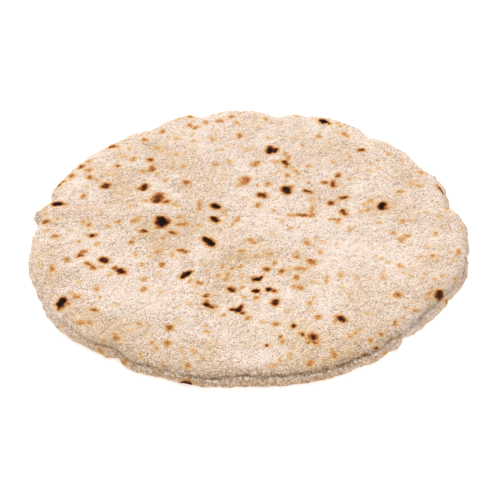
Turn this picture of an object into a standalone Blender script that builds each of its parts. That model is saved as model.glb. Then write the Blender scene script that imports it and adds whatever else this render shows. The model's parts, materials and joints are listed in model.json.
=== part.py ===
"""A round pita bread, baked as one piece: a thin disc with a flat underside, a rim that swells
out where the two crusts close, and an uneven top that rolls over into the rim.

Run it with blender --background --python part.py, or from Blender's text editor.
"""

import math

import bmesh
import bpy

COLLECTION_NAME = "pita_bread"

# Driving dimensions, in metres. +Z is up, and the bread lies on z = 0 around the origin.
DIAMETER = 0.2025
RIM_HEIGHT = 0.0042  # the widest line of the rim above the resting surface
SHOULDER_HEIGHT = 0.0112  # the top crust just inside the rim

# The section, by the share of the radius: 0 at the middle and 1 at the rim.
RESTING_SHARE = 0.80  # the underside is flat out to here
BELLY_POWER = 3.0  # higher leaves the surface later and rises more steeply
SHOULDER_POWER = 15.0  # higher rolls the top over in a tighter shoulder

# The cage, before it is subdivided.
SEGMENTS = 40
RINGS = 20
SUBDIVISIONS = 1

# Waves of the outline: direction and half width in degrees, and how far the rim moves out in metres.
OUTLINE_WAVES = (
    (138.0, 20.0, -0.0040),
    (103.0, 6.0, -0.0015),
    (88.0, 9.0, 0.0008),
    (56.0, 9.0, -0.0025),
    (33.0, 8.0, -0.0025),
    (12.0, 7.0, -0.0025),
    (-44.0, 7.0, -0.0030),
    (-90.0, 16.0, -0.0009),
    (-142.0, 24.0, 0.0028),
)

# Swells and dips of the top crust: centre X and Y, spread, and height, in metres.
TOP_SWELLS = (
    (-0.048, 0.012, 0.016, 0.0012),
    (-0.060, -0.055, 0.026, 0.0014),
    (0.022, -0.004, 0.018, 0.0016),
    (0.055, -0.040, 0.030, 0.0012),
    (0.000, 0.062, 0.030, 0.0012),
    (-0.016, 0.006, 0.012, -0.0011),
    (-0.048, 0.032, 0.012, -0.0009),
    (0.035, 0.018, 0.014, -0.0010),
    (0.004, -0.032, 0.016, -0.0008),
    (-0.078, -0.015, 0.014, -0.0008),
)

# Principled BSDF values of the baked crust, the colour in linear light.
CRUST_COLOUR = (0.823, 0.645, 0.497, 1.0)
CRUST_ROUGHNESS = 0.85


def clear_scene():
    """Removes every object, so that the bread is alone in the file."""
    for found in list(bpy.data.objects):
        bpy.data.objects.remove(found, do_unlink=True)


def bell(distance, spread):
    """A smooth bump: 1 at no distance, falling to 0.37 at one spread."""
    return math.exp(-((distance / spread) ** 2))


def outline_radius(angle):
    """The rim's radius in a direction, in metres: half the diameter, moved by the outline's waves."""
    radius = DIAMETER / 2
    for direction, half_width, height in OUTLINE_WAVES:
        turn = (math.degrees(angle) - direction + 180.0) % 360.0 - 180.0
        radius += height * bell(turn, half_width)
    return radius


def underside_height(share):
    """Flat out to the resting share, and then a quarter curve up to the rim."""
    climb = max(0.0, (share - RESTING_SHARE) / (1.0 - RESTING_SHARE))
    return RIM_HEIGHT * (1.0 - math.sqrt(max(0.0, 1.0 - climb**BELLY_POWER)))


def top_height(share, x, y):
    """From the rim over the shoulder to a level crust, with its swells fading out at the rim."""
    roll = math.sqrt(max(0.0, 1.0 - share**SHOULDER_POWER))
    swell = sum(
        height * bell(math.hypot(x - centre_x, y - centre_y), spread)
        for centre_x, centre_y, spread, height in TOP_SWELLS
    )
    return RIM_HEIGHT + (SHOULDER_HEIGHT - RIM_HEIGHT + swell) * roll


def shape_bread(mesh):
    """Reshapes a sphere of radius 1: its shadow becomes the outline, and its halves become
    the top crust and the underside."""
    for vertex in mesh.verts:
        share = min(1.0, math.hypot(vertex.co.x, vertex.co.y))
        angle = math.atan2(vertex.co.y, vertex.co.x)
        radius = share * outline_radius(angle)
        x = radius * math.cos(angle)
        y = radius * math.sin(angle)
        if vertex.co.z > 0.0:
            z = top_height(share, x, y)
        else:
            z = underside_height(share)
        vertex.co = (x, y, z)


def crust_material():
    """Pale baked dough, dry and matt."""
    material = bpy.data.materials.new("baked_crust")
    material.use_nodes = True
    shader = material.node_tree.nodes["Principled BSDF"]
    shader.inputs["Base Color"].default_value = CRUST_COLOUR
    shader.inputs["Roughness"].default_value = CRUST_ROUGHNESS
    shader.inputs["Metallic"].default_value = 0.0
    return material


def make_bread(collection):
    """The whole bread, as one closed body with its resting face at z = 0."""
    cage = bmesh.new()
    bmesh.ops.create_uvsphere(cage, u_segments=SEGMENTS, v_segments=RINGS, radius=1.0)
    shape_bread(cage)
    data = bpy.data.meshes.new("pita_bread")
    cage.to_mesh(data)
    cage.free()
    data.shade_smooth()
    data.materials.append(crust_material())
    bread = bpy.data.objects.new("pita_bread", data)
    collection.objects.link(bread)
    smoothing = bread.modifiers.new("soft_dough", "SUBSURF")
    smoothing.levels = SUBDIVISIONS
    smoothing.render_levels = SUBDIVISIONS
    return bread


def main():
    clear_scene()
    collection = bpy.data.collections.new(COLLECTION_NAME)
    bpy.context.scene.collection.children.link(collection)
    make_bread(collection)


if __name__ == "__main__":
    main()
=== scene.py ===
"""The looks of a round pita bread: its blistered top crust, its rim where the two crusts close, its
underside, the scorch marks of the baking stone, and a plain studio stage around it.

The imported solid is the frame. Every size below is in metres, +Z is up, and the bread lies on z = 0.
"""

import json
import math

import bpy
import numpy as np
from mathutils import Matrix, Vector

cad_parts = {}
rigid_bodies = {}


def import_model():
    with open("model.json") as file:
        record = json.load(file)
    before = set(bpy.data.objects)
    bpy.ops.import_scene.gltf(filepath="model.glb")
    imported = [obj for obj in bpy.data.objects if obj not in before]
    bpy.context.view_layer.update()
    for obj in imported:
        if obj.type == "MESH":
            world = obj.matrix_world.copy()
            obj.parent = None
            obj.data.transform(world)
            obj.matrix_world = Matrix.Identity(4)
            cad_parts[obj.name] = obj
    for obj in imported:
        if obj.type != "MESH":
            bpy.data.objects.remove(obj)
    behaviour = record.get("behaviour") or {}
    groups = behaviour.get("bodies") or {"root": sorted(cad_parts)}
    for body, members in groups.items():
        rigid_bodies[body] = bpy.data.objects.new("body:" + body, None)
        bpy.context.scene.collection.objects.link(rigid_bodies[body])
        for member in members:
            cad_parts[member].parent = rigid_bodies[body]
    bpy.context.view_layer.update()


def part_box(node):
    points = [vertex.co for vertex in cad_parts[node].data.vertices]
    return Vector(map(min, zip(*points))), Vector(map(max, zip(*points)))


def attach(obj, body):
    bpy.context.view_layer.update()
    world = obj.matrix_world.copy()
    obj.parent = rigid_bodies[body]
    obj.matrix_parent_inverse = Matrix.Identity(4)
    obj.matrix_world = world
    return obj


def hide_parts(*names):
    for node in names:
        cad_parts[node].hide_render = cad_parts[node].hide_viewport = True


for found in list(bpy.data.objects):
    bpy.data.objects.remove(found, do_unlink=True)
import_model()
BREAD_LOW, BREAD_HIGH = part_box("pita_bread")

bl_info = {
    "name": "Pita bread",
    "version": (1, 0, 0),
    "blender": (4, 5, 0),
    "location": "3D View > Sidebar > Pita",
    "description": "Makes a baked pita bread and a small studio around it",
    "category": "Object",
}

MM = 0.001

# The mesh: cells across the top and the underside. The underside has half as many as the top.
TOP_CELLS = 240
UNDER_CELLS = TOP_CELLS // 2

# The outline of the rim: direction in degrees from +X towards +Y, and radius in mm.
OUTLINE = (
    (0, 101.0), (5, 100.7), (10, 95.5), (13, 95.5), (16, 97.8), (20, 99.0), (27, 99.5), (32, 97.8),
    (38, 99.3), (45, 98.0), (51, 94.4), (55, 97.6), (61, 99.2), (65, 100.4), (70, 98.4), (77, 96.9),
    (80.5, 91.9), (84, 95.4), (90, 97.2), (96, 98.5), (101, 95.8), (104, 94.2), (108, 98.0),
    (115, 96.6), (121, 94.0), (125, 96.2), (130, 94.7), (138, 96.0), (142, 97.0), (150, 96.9),
    (155, 97.7), (159, 98.0), (162, 96.4), (165, 93.6), (167.5, 96.2), (169.5, 99.4), (172, 98.6),
    (175, 94.9), (178, 96.4), (182, 97.5), (188, 98.0), (196, 100.5), (205, 100.1), (210, 101.7),
    (216, 102.3), (225, 100.5), (230, 99.9), (235, 97.1), (240, 99.8), (246, 99.1), (252, 98.3),
    (258, 98.5), (266, 97.3), (270, 96.9), (276, 98.0), (282, 98.3), (287, 98.6), (297, 97.6),
    (301, 97.3), (304, 98.4), (308, 96.2), (314, 96.8), (320, 96.6), (325, 96.6), (331, 97.9),
    (336, 99.4), (340, 101.2), (350, 100.7),
)
OUTLINE_SOFTNESS = 1.1  # how far a corner of the outline is rounded, in degrees

# Where only the lower lip moves: direction and half width in degrees, and how far out in mm.
LIP_WAVES = (
    (233.5, 1.6, 1.0),
    (235.8, 0.9, -1.0),
    (239.0, 2.0, 0.3),
    (254.0, 2.5, 0.2),
    (266.0, 1.2, 1.1),
    (304.0, 5.0, 0.5),
    (311.0, 2.0, 0.5),
    (314.6, 1.5, -2.2),
    (318.0, 2.0, -0.4),
    (327.0, 3.0, 0.4),
    (334.0, 1.5, -0.5),
)

# Swells and dips of the top crust: centre X and Y on the plan, spread, and height, in mm.
TOP_SWELLS = (
    (-48, 10, 15, 1.1),
    (-60, -55, 26, 1.3),
    (22, -3, 17, 1.5),
    (55, -40, 30, 1.2),
    (0, 62, 30, 1.2),
    (-70, 40, 18, 0.6),
    (-16, 8, 12, -1.1),
    (-48, 32, 12, -0.8),
    (35, 18, 12, -1.0),
    (4, -32, 16, -0.8),
    (-78, -15, 12, -0.5),
    (-30, -60, 14, 0.4),
    (20, -72, 14, 0.4),
)

# Folds of the top crust. Each is a bent line of X, Y and height in mm, then how far its slope reaches
# on the left of the line and on the right, also in mm. The steep side has the shorter reach. The
# heights are relative, and FOLD_RISE turns them into the height of the crest.
FOLDS = (
    (((-95, 17, 1.0), (-84, 17.5, 0.95), (-70, 17.5, 0.85), (-60, 18, 1.0), (-47, 19, 1.1),
      (-40, 17, 0.9), (-34, 14.5, 0.3), (-28, 11, 0.0)), 3.2, 8.0),
    (((10, 12, 0.0), (15, 8.8, 0.8), (22, 7.6, 1.3), (31, 7.0, 1.2), (44, 7.4, 1.0),
      (58, 8.5, 0.85), (72, 11.5, 0.85), (85, 16.5, 0.95), (95, 18.5, 1.0)), 3.4, 9.0),
    (((-66.5, -80, 1.2), (-63.5, -75, 1.2), (-60, -70.5, 1.2), (-56, -66.5, 1.1),
      (-47, -60, 0.8), (-37, -53, 0.4), (-30, -46, 0.0)), 3.0, 10.0),
    (((-99, -23, 0.7), (-94, -19.5, 0.85), (-88, -16, 0.75), (-80, -11.5, 0.35),
      (-74, -8, 0.0)), 2.6, 6.0),
    (((-84, -30, 0.5), (-80, -27, 0.75), (-74, -23, 0.6), (-66, -20, 0.0)), 2.4, 5.0),
)

FOLD_RISE = 2.2
FOLD_CREST = 2.5  # how far the crest lies to the right of the line, in mm
VALLEY_SHARE = 0.45  # the valley's depth, as a share of the fold's height
VALLEY_OFFSET = 1.2  # how far the valley lies to the left of the line, in mm
VALLEY_WIDTH = 2.2
# The valleys of the folds get a line of painted shade.
FOLD_SHADE_OFFSET = 0.9  # how far the darker line in the valley lies to the left of the line, in mm
FOLD_SHADE_WIDTH = 0.7

# The dip beside the fold that starts at the front left of the rim: X, Y, spread and height in mm.
FOLD_DIPS = (
    (-68.5, -76, 4.0, -1.0),
    (-65, -69.5, 4.5, -0.7),
    (-60, -64.5, 5.0, -0.5),
)

# The level of the top crust, from the frame: its crest, how far its base lies below the crest, and
# the soft ceiling over its swells, all in mm.
CREST = (BREAD_HIGH.z - BREAD_LOW.z) / MM
BASE_DROP = 2.0
CEILING_RISE = 0.1
CEILING_SOFTNESS = 0.4

# The seam between the two crusts: how far in from the outline, and how high, in mm.
SEAM_INSET = 1.6
SEAM_HEIGHT = 5.8

# How the upper crust bends over from the seam to its level: higher powers bend later and tighter.
BACK_SHOULDER = 16.0
FRONT_SHOULDER = 7.2

# The section of the rim. The upper crust's rings are given by how far in from the outline they lie,
# and the lower lip's by that and their height, in mm, from the seam down to the table.
CRUST_ROWS = (5.2, 4.5, 3.9, 3.35, 2.9, 2.5, 2.2, 1.95, 1.75, 1.65)
LIP_ROWS = (
    (1.75, 6.05), (2.5, 5.75), (2.2, 5.5), (1.4, 5.35), (0.75, 5.0), (0.25, 4.3),
    (0.0, 3.3), (0.05, 2.4), (0.35, 1.5), (1.0, 0.8), (2.4, 0.35), (5.0, 0.1), (9.0, 0.02),
)
SEAM_ROWS_DEPTH = 0.9  # the lip's rows above SEAM_FLOOR are drawn for a seam this deep
SEAM_FLOOR = 5.2
RIM_START = 6.0  # the top grid ends this far in from the outline
UNDER_INSET = 14.0  # the flat grid of the underside ends this far in

# Scorch marks of the top crust: centre X and Y on the plan, half length and half width in mm, the turn
# of the length in degrees from +X, and how far it is baked: 0.2 pale gold, 0.45 orange, 0.65 brown,
# 1 black.
MARKS = (
    # Left of the middle.
    (-46.7, 47.2, 2.2, 1.8, 90, .55), (-40.2, 37.8, 1.8, 1.3, 90, .30), (-33, 43.3, 1.3, 1, 90, .25),
    (-32, 49.5, 1.5, 1.2, 0, .32), (-37, 48, 1.5, 1, 90, .22), (-30.3, 35.8, 2, 1.7, 90, .56),
    (-50, 32, 3, 1.8, 80, .80), (-53, 30.8, .8, .8, 0, .5), (-43, 23.5, 4, 3, 65, .72),
    (-43.3, 20.8, 2.2, 1.8, 0, .82), (-39.2, 20, 2.2, 1.8, 30, .65), (-35.5, 18.5, 1.2, .8, 90, .35),
    (-48.8, 21, 1.6, .9, 0, .35), (-23.5, 17.5, 3.5, .9, 90, .42), (-16, 16.5, 2.6, 2.1, -35, 1.0),
    (-12.5, 11.8, 3.5, .6, -62, .36), (-16.2, 5.8, 3.2, 1.5, -65, .95), (-6.5, 5, 3.8, .9, 60, .36),
    (-40.3, 4.3, 4.4, 3.4, 105, 1.0), (-32.5, 8, 1.5, 1.3, 0, .35), (-31.3, 2.2, 3, 1.5, 0, .42),
    (-23.5, 1.8, 1.8, 1, 0, .28), (-2.3, 38, 3.6, 2.3, 80, .52), (-5, 34, 1.8, 1.3, 60, .28),
    (-12, 42, 1.5, .8, 90, .2), (-2.8, 23, .9, .8, 0, .22), (-13, 25, .8, .8, 0, .2),
    (-33.4, 16.8, .35, .35, 0, .6), (-43.9, 43.3, .35, .35, 0, .6), (-11.3, 13, .35, .35, 0, .6),
    # Far left.
    (-81.2, 49, 1.8, 1.2, 60, .75), (-77.2, 46, 1.8, 1.5, 20, .46), (-85, 41.5, 1.7, 1.4, 90, .56),
    (-76.2, 40, 1.6, 1.4, 90, .56), (-72.5, 37.5, 1.8, 1, -60, .32), (-89.3, 36.4, 1.6, .6, 50, .66),
    (-90.6, 34, 1, .6, 60, .6), (-68, 33.2, 2.5, 2.1, 70, .82), (-77.1, 32.6, .4, .4, 0, .5),
    (-68.3, 42.3, 1, 1, 0, .26), (-64, 42.5, .9, .8, 0, .28), (-62.6, 38.5, .9, .9, 0, .22),
    (-51.5, 45.5, 1.3, 1.2, 0, .42), (-64, 49.5, 1.6, 1.4, 0, .5), (-78.2, 24.5, 2.2, 1.2, 90, .42),
    (-90, 18.3, 3, 1.8, 0, 1.0), (-86.5, 18, 1.2, 1, 0, .42), (-94.5, 4.5, 2.1, 1.7, 35, .56),
    (-95, 10, 1.3, .7, 90, .26), (-96, 14, 1.2, .8, 90, .22), (-82, 12, .8, .8, 0, .26),
    (-69, 11.8, 1, 1, 0, .3), (-76, 14, 1.2, 1.2, 0, .22), (-76.8, 3.8, 1.2, .9, -45, .42),
    (-73.8, 1.5, 1.3, 1.2, 0, .43), (-60.8, 4.2, 1.3, 1.2, 0, .42), (-65.5, 1, 1.5, 1.3, 90, .37),
    (-52.8, 5, 2.2, 1.8, 60, .36), (-51, 7.8, .9, .8, 0, .36), (-85, 7.5, .8, .7, 0, .22),
    (-89, 6.5, .6, .6, 0, .3), (-60, 26, .9, .8, 0, .22), (-63.5, 28.5, .8, .8, 0, .22),
    (-56, 17, 3, 1.1, 90, .18),
    # Right of the middle.
    (5.8, 25.3, 2.6, 2, -35, .77), (17.2, 29.3, 3.4, 2.5, 100, .90), (19.5, 31.5, 1.6, 1.2, 70, .45),
    (27.2, 28.7, 2, 1.2, -30, .77), (29, 27.2, .9, .8, -50, .55), (8.5, 34.5, 2, 1.7, 90, .36),
    (8.8, 33.5, .35, .35, 0, .6), (3.5, 33.3, 1.3, .9, 90, .36), (12, 43, .9, .8, 0, .22),
    (17.8, 41.8, 2, .9, -70, .38), (22.3, 45, 2, 1.2, -60, .38), (20, 47.8, 1.8, .9, -50, .32),
    (28.5, 49.5, 1.5, 1.2, 90, .35), (35.5, 35.6, 1.8, 1.4, 15, .54), (39.3, 35, 3, 1.1, 90, .70),
    (40.3, 32.8, .9, .8, 0, .5), (42.3, 42, 2.2, 1.3, 60, .52), (47.5, 38.5, 2, .9, 80, .26),
    (38, 19.3, 2.3, 1.7, 90, .70), (43.8, 23.5, 2.2, 1.4, 15, .72), (40.7, 22, 1.5, .8, 50, .36),
    (43.5, 11.7, 2.3, 1.6, 100, .74), (39, 5.7, 2.3, 1, 0, .5), (41.2, 5.7, .9, .6, 10, .78),
    (40.5, 3.3, 1.4, 1.1, 60, .3), (24.5, 9.5, 3, 1.4, 0, .56), (25, 8.9, 1.2, .8, 0, .72),
    (28.5, 9.3, 2, 1.8, 0, .44), (19.5, 9.3, 2.2, 1.5, 0, .32), (29, 14, 2.8, 1, 80, .36),
    (3.8, 17, 2.2, 1.3, 75, .42), (14.5, 4, 1.5, .9, -50, .22), (29.3, 21.5, 2, 1, 70, .27),
    (12.7, 23, 1.2, 1, 0, .2), (11, 13, .35, .35, 0, .6), (27.8, 35.6, .35, .35, 0, .6),
    # Far right.
    (61.5, 16.5, 3.4, 1.9, 72, .98), (63.3, 15, 1.6, 1, 90, .5), (71, 28.3, 1.6, 1.4, 0, .46),
    (80.3, 33.3, 1.8, 1.2, -25, .38), (76.3, 35.5, 2.2, 1, 80, .28), (90.3, 31.8, 2.6, 1, -62, .80),
    (91.5, 31.3, 1, .6, -70, .95), (82.2, 44, 1.3, 1, -45, .36), (56.5, 20.5, 1.5, 1.2, 70, .36),
    (53.3, 18, 1.5, 1, 90, .26), (54.3, 13.3, 1.6, .8, 40, .36), (51.5, 12, 1, .9, 0, .28),
    (58.5, 4, 1, .9, 90, .36), (70.3, 4.5, 1.5, 1.3, 60, .38), (87, 8.3, 1.5, 1, 80, .28),
    (92, 14.8, 1.2, 1, 60, .40), (81.5, 11.5, .6, .5, 0, .3), (62, 48, 1.5, 1.5, 0, .2),
    # Back, left.
    (-48.2, 54.7, 1.9, 1.6, -50, .62), (-43.3, 80, 1.8, 1.3, 75, .44), (-29.3, 84.8, 1.9, 1.2, -60, .46),
    (-26.5, 83.3, 2.2, 1.4, 50, .42), (-21.8, 88, 1.6, .8, -70, .38), (-14.9, 89, 1.8, 1.4, 20, .42),
    (-9.2, 93.2, 1.5, 1.4, 60, .46), (-6.4, 87.7, 1.6, .9, -70, .38), (-5, 76, 2.2, 1.5, 90, .46),
    (-18.1, 72, 1.5, 1, 90, .36), (-27.4, 71.2, .9, .8, 0, .38), (-36.2, 73.8, 1.3, 1.2, 0, .26),
    (-45, 65, 1.6, 1.2, -40, .36), (-42.7, 62.3, .7, .6, 0, .32), (-35.6, 59.5, 1.3, 1.1, 0, .26),
    (-28.5, 76.5, 1.8, 1, 70, .24), (-13.5, 63.3, 1.2, 1, 0, .26), (-1.5, 63.7, 1.8, 1.4, 0, .25),
    (-10, 53.5, 1.6, 1.2, 90, .3), (-16.5, 51, 1.5, 1.2, 0, .38), (-16.2, 52, .35, .35, 0, .6),
    (-29.5, 93.2, 1.5, .7, -15, .46), (-36.5, 91.5, 1.6, .7, 20, .3), (-51.8, 72.5, 1.6, 1.3, 90, .5),
    (-67.5, 66.3, 2, .8, 35, .68), (-65, 66.8, 1.2, 1, 0, .42), (-59, 64.5, .9, .9, 0, .3),
    (-56.2, 55.8, 1.5, 1.2, 55, .5), (-77.8, 53.5, 1, .9, 60, .38), (-61.5, 57.5, 2, .9, 80, .25),
    # Back, right.
    (7.8, 91.3, 1.8, 1, -65, .40), (23.8, 94, 1.2, .6, 0, .36), (36.5, 89, 3, 1.7, -22, .98),
    (39.3, 87.2, .9, .7, -50, .9), (45, 84.8, .8, .6, 0, .42), (44, 87.5, 1, .8, 0, .3),
    (34, 75.3, 1.9, 1.3, -60, .40), (47, 77, 2.7, 1.1, -68, .40), (9.8, 63.3, 3.2, 2.2, 80, 1.0),
    (12.3, 63, 2.6, 1, 80, .9), (26, 67.5, .9, .7, 90, .36), (17.5, 60, 1.6, 1.2, 90, .3),
    (18.3, 56.3, 2.4, 1.1, 75, .42), (16.9, 52.2, 2.3, 1.3, -75, .80), (17.3, 49, .8, .7, 0, .75),
    (12.5, 53, 2, 1.5, 0, .3), (3, 52, 2.4, 1.2, 35, .42), (2, 50.3, 2, 1.2, 0, .42),
    (40.3, 53, 1.5, .9, 90, .3), (47.5, 59.5, 1.4, 1.2, 0, .26), (39, 69.5, 1.6, .9, -70, .2),
    (8.5, 74, .8, .7, 0, .27), (1, 64.5, .9, .8, 0, .26), (54.3, 63.3, 1.9, 1.5, 10, .78),
    (67.7, 60, 1.4, 1.1, -50, .36), (61.8, 54.5, .45, .4, 0, .7), (73.5, 54.5, 1.8, .6, 85, .25),
    # In front of the middle, far left.
    (-72.2, -6.4, 1.2, .9, 60, .95), (-72, -6.3, 2.5, 1.6, 10, .45), (-70.2, -6, .8, .7, 60, .55),
    (-89, -7, 1.7, 1.5, 0, .43), (-93, -2.8, 1.5, 1.2, 60, .3), (-83, -2.5, 1.6, 1.3, 0, .2),
    (-77.9, -11, 1, .8, -60, .4), (-69.3, -12.8, 1.5, 1, 60, .32), (-53.6, -11.8, 1.4, 1.2, -50, .46),
    (-53, -8, 1.2, .9, 60, .26), (-75, -18.8, 1.6, 1.2, 60, .54), (-76.5, -21.5, 1.9, 1.4, 50, .62),
    (-82, -24.5, 1.9, 1.5, 80, .5), (-88.3, -31, 2.4, 1.2, 80, .44), (-65.3, -25, 2.5, 1.7, -35, .87),
    (-72.2, -27.8, 1.8, .9, -55, .56), (-70.2, -30.2, 2.1, 1, -60, .56), (-59.8, -30.6, 1.6, 1.4, -30, .68),
    (-57.3, -33, 2.8, 2.1, -55, .94), (-62, -35.5, 1.5, .9, 85, .25), (-67, -45.5, 1.4, 1.2, -60, .36),
    (-51.3, -20.3, 1.9, .9, -80, .32), (-94.5, -28.5, 2, 1, 85, .22), (-77.5, -49, 2, 1, -20, .3),
    (-68, -30, .35, .3, 0, .55), (-66.8, -30, .35, .3, 0, .55), (-65.5, -30, .35, .3, 0, .5),
    # In front of the middle, left.
    (-48.5, -3, 1.9, 1.2, 15, .74), (-35.2, -4.3, 2.2, 1.3, -35, .72), (-41.5, -.3, 2, .7, 0, .5),
    (-18.8, -11, 4.6, 2, -55, 1.0), (-31, -17.8, 2.3, 1.2, -12, .56), (-29, -19, 1.3, .7, 50, .52),
    (-41.3, -18.3, 1.6, 1, 40, .38), (-35, -20.8, 2.2, 1.1, 85, .28), (-39.2, -9, 1.1, .8, 90, .3),
    (-45, -22.3, 1.1, .7, 90, .26), (-48.5, -28.3, 1.4, 1, 80, .32), (-39.3, -28.5, 1.9, 1.1, -80, .54),
    (-28.4, -35.5, 3.2, 1.5, 50, .93), (-46.7, -38.7, 1.5, 1.1, 80, .4), (-46.5, -46, 1.9, 1.3, 60, .46),
    (-26.5, -40.5, 1.5, 1.2, 80, .32), (-22.3, -41.3, 1.4, .9, -25, .5), (-19, -33, .5, .5, 0, .38),
    (-20.7, -28.5, .7, .6, 0, .26), (-3.8, -18, 1.5, 1.2, 0, .38), (-9, -25, 1.5, .8, 70, .26),
    (-12, -29.5, 1.8, .7, 85, .34), (-7.8, -31.3, 1.5, 1, 50, .43), (-4, -29.5, 1.5, .9, 80, .4),
    (-10, -36.5, 2.6, .8, 75, .42), (-14, -36, 1.5, 1, 70, .32), (-11.2, -39.5, 1, .9, 0, .46),
    (-3.8, -37, 1.5, 1, 90, .28), (-8.2, -46.3, 2.3, 1.6, -50, .84), (-3.3, -44.5, 1.2, .8, 50, .32),
    (-2.7, -41, .9, .8, 0, .25),
    # In front of the middle, right.
    (.9, -10.8, 2.4, 1.3, -65, .46), (18, -2, 1.3, .6, 25, .36), (9.7, -5.3, 1.2, 1, 80, .28),
    (25.8, -12.5, 1.8, 1.5, -50, .43), (33.2, -11.5, 1.1, 1.1, 0, .28), (39.2, -12.5, 1, .8, 60, .22),
    (32, -18.7, 1.3, 1.1, 50, .43), (8.5, -20.5, 1.9, 1.3, 20, .33), (3, -22, 1.2, 1, 0, .31),
    (21.2, -22.5, 1.2, 1, 60, .46), (21.4, -19.5, 1.4, .8, 90, .28), (27.5, -26.3, 2.8, 2.2, -45, .5),
    (27, -25, 1.1, .8, 30, .72), (22.5, -31.2, 2.8, 1.2, -12, .46), (18, -31.6, 1.5, .7, 0, .26),
    (11.2, -27, 2, .9, 85, .38), (7.6, -31.6, 1.7, 1.5, -60, .63), (14.2, -33, 1.9, 1.3, 65, .62),
    (20.7, -37.6, 1.9, 1, 90, .5), (40.2, -35.6, 1.9, .9, 80, .4), (34, -38.7, 3.1, .7, 78, .28),
    (46.8, -38, 1.5, .8, 70, .25), (3, -39.2, 2.3, 1.5, 0, .98), (5, -37.6, 1.2, .8, 60, .9),
    (1.2, -38.3, .9, .7, -60, .9), (2.6, -47.2, 1.7, 1.4, 0, .93), (8.6, -46.2, 1.4, 1.3, 60, .93),
    (10.6, -47, 1.6, 1.2, -45, .75), (22.3, -45.1, 1.6, 1.2, -70, .46), (19, -44, 1.3, 1, 80, .34),
    (28.5, -41.2, 2.2, .6, -10, .26), (44, -49, 1, .8, 50, .28), (46, -1, 2.2, .8, -25, .25),
    # In front of the middle, far right.
    (65.3, -4.4, 1.4, 1.1, 80, .46), (65.4, -3.8, .35, .35, 0, .65), (69.3, -9, 2.3, 1.3, 50, .4),
    (72, -6.5, 1.3, 1.2, -50, .4), (68.8, -11.2, 1.2, .8, 30, .38), (67.8, -8.8, .35, .3, 0, .6),
    (70.3, -6.5, .35, .3, 0, .6), (70.4, -9.8, .35, .3, 0, .6), (85, -5, 1.1, .35, 85, .65),
    (94.6, -19, 1.9, 1, 75, .4), (82.2, -21.8, 1.5, 1.2, -75, .43), (76.5, -22.5, 1.1, .9, 60, .26),
    (67, -29.2, 1.5, 1, -50, .4), (69.3, -34.3, 1, .4, -10, .36), (71, -36.5, .9, .8, 0, .3),
    (62, -26.5, 1.4, 1.2, 70, .2), (59, -36.8, 3, 1, 88, .3), (85.5, -36.5, 1.6, 1.1, 80, .3),
    (78, -35, 1.6, .8, 70, .22), (91.2, -38.5, .7, .4, 70, .5), (91.5, -24.5, 1.6, .8, 85, .25),
    (56.3, -22, 1.2, .7, 60, .22), (64.6, -50, 2, 1.5, 85, .5), (83.1, -49.5, 3.2, 1.8, 85, .86),
    (79, -48.7, 2, 1.7, 70, .3), (77.5, -52.2, 2.5, 1.2, 80, .28), (98.2, -9, 1, .7, 80, .3),
    (97.8, -2.5, 1.6, .6, 95, .25),
    # Front, far left.
    (-82.2, -55.6, 4.1, 2.2, 75, 1.0), (-82.6, -60, 1.2, 1.1, 0, .66), (-79.4, -56.2, 1.2, .9, 50, .6),
    (-76, -51.5, 1.9, 1.4, -30, .4), (-67.6, -60.5, 2.2, .8, -10, .64), (-66, -62.6, 1.2, .8, 0, .3),
    (-72.8, -69.2, 1.9, 1.4, -40, .42), (-69, -69.4, 1.6, 1, 85, .38), (-77, -67, 1.2, 1, 0, .22),
    (-65.3, -51.5, 1.2, .6, 90, .3), (-58, -57, 1.5, 1.2, 0, .2), (-57, -79.8, 2.3, 1.2, -75, .38),
    (-62, -81.5, 1.5, .8, 70, .28), (-57.5, -77, 1.5, .9, -60, .25), (-87, -51, .9, .7, 0, .25),
    (-81.2, -72, .5, .4, 0, .5), (-63.8, -87.8, 1.3, .4, -55, .68), (-63.4, -87.6, 2.2, 1.2, -55, .34),
    (-53, -94.5, 1.6, 1.2, -60, .46),
    # Front, left.
    (-19.5, -50.6, 1.7, 1.2, 0, .56), (-19, -54, 1.3, .9, 0, .52), (-19, -56.7, 1.9, 1.3, -30, .93),
    (-16.8, -58.3, 1.4, 1, -55, .72), (-15.2, -57.8, 1.3, 1, -60, .42), (-5.2, -60.8, 1.8, 1.3, 0, .97),
    (-7.6, -60.3, 1.2, .7, 0, .9), (-3.9, -58.8, 1.6, .8, 65, .9), (-3.2, -62.6, 1, .7, -20, .9),
    (-11.7, -64.2, 1.2, 1, 0, .43), (-1, -66, 1.4, 1.1, 70, .5), (-34.3, -72.7, 2, 1.4, 80, .62),
    (-34.9, -83, 2.3, 1.4, 100, .5), (-47.5, -69.8, 1.4, 1, -70, .36), (-26.3, -96, 1.8, 1.2, -80, .46),
    (-26, -56, 1.1, .9, 0, .3), (-31.7, -67, 1.5, .8, 80, .27), (-18.6, -71.5, 1.1, .9, 0, .34),
    (-18.2, -75.5, 1.3, 1, 0, .33), (-41.5, -82.5, 1.1, .9, 0, .3), (-39.8, -86, 2, 1.2, 80, .3),
    (-24, -87.5, 2, 1, -80, .28), (-29, -87.5, 2, .7, -75, .25), (-46, -90, 2, .7, -75, .28),
    (-20, -92, 1.2, .8, 80, .25), (-2.5, -51.5, 1, .9, 0, .25), (-26.5, -107.8, 2.5, 2.1, 0, .88),
    # Front, right.
    (2.8, -52.3, 1.3, 1, 60, .46), (11.2, -55.3, 2.5, 1.7, 85, .82), (26.2, -56.2, 1.2, .9, 40, .42),
    (27.8, -52.5, 1.6, .5, 80, .3), (16.5, -61.6, 1.3, 1.1, -50, .27), (29.5, -65.5, 1.8, 1.2, 70, .47),
    (39.1, -66.6, 3, 1.9, -55, .90), (37.2, -68.2, 1.3, 1, 0, .55), (11.3, -70.3, 1.4, 1, 0, .43),
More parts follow.
